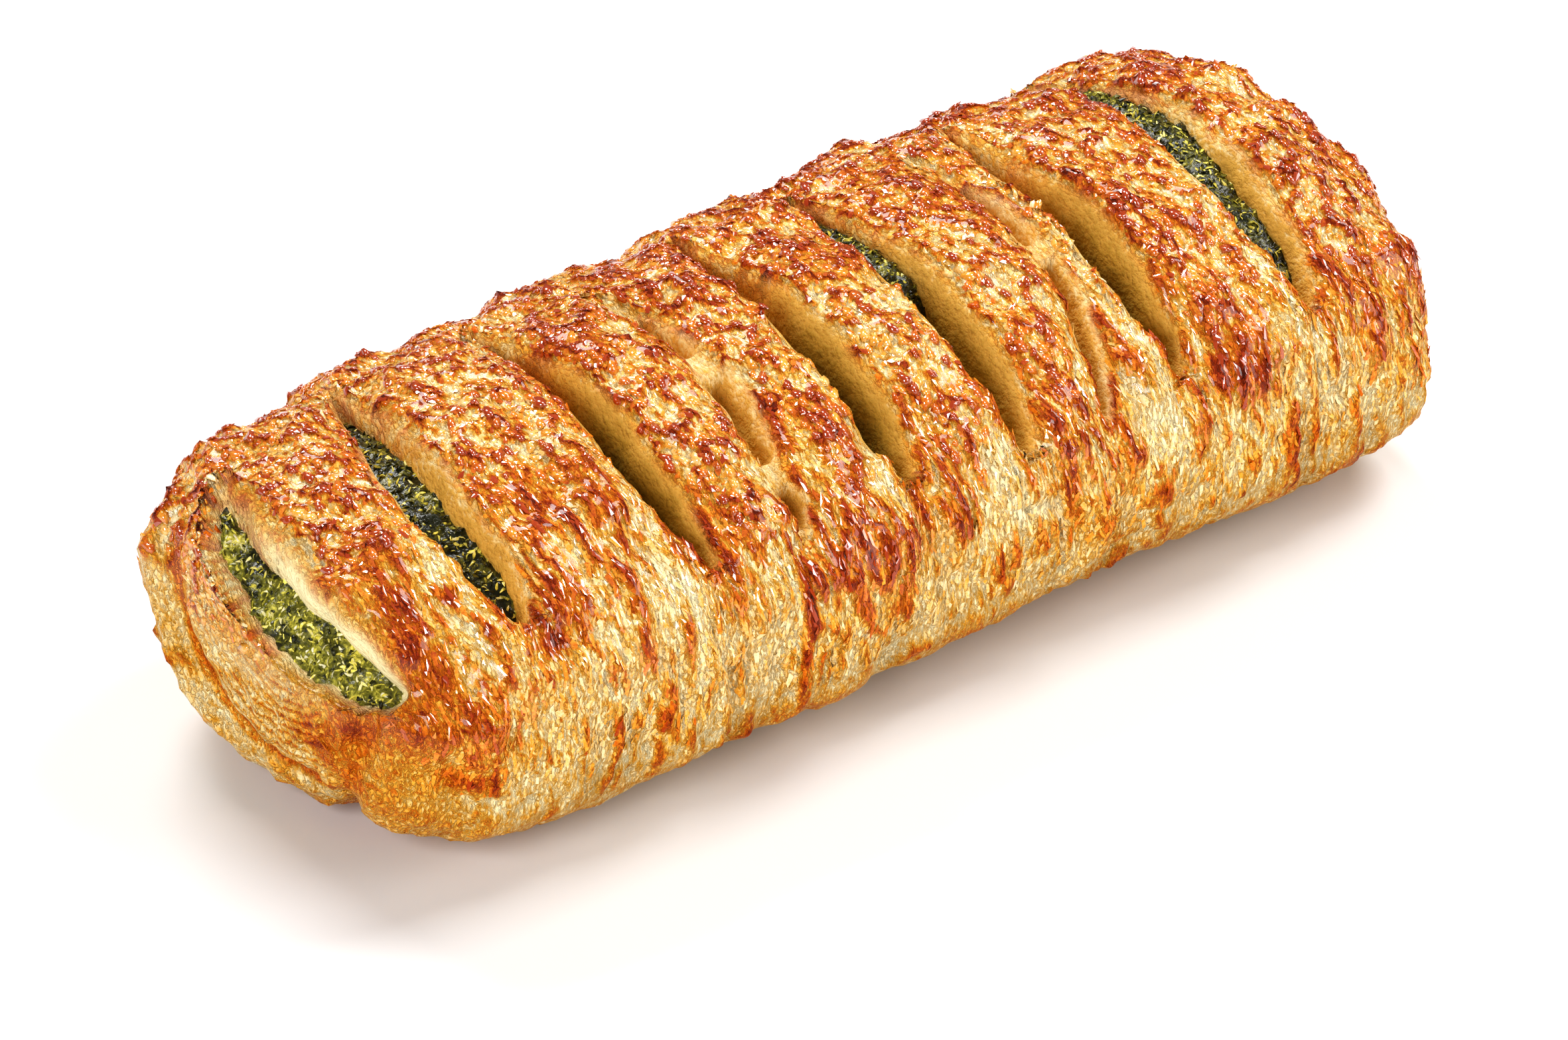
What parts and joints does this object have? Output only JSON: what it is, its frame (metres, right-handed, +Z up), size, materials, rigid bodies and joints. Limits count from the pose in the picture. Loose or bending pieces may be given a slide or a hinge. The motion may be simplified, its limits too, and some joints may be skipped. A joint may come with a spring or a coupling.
{
  "type": "spinach strudel",
  "caption": "Baked puff pastry roll with a craggy ribbed top, slits across it and a gaping end, holding a spinach filling that runs through it and shows in the openings.",
  "frame": {"origin": "on the floor under the middle of the roll", "axes": "+X along the roll, away from the gaping end; +Z up; the front of the roll faces -Y"},
  "size_m": [0.1518, 0.0676, 0.0436],
  "materials": {
    "pastry": "baked crust, golden to red-brown, part glossy",
    "spinach_filling": "moist chopped spinach with cheese"
  },
  "bodies": {
    "root": {"pastry": "pastry", "spinach_filling": "spinach_filling"}
  },
  "joints": []
}
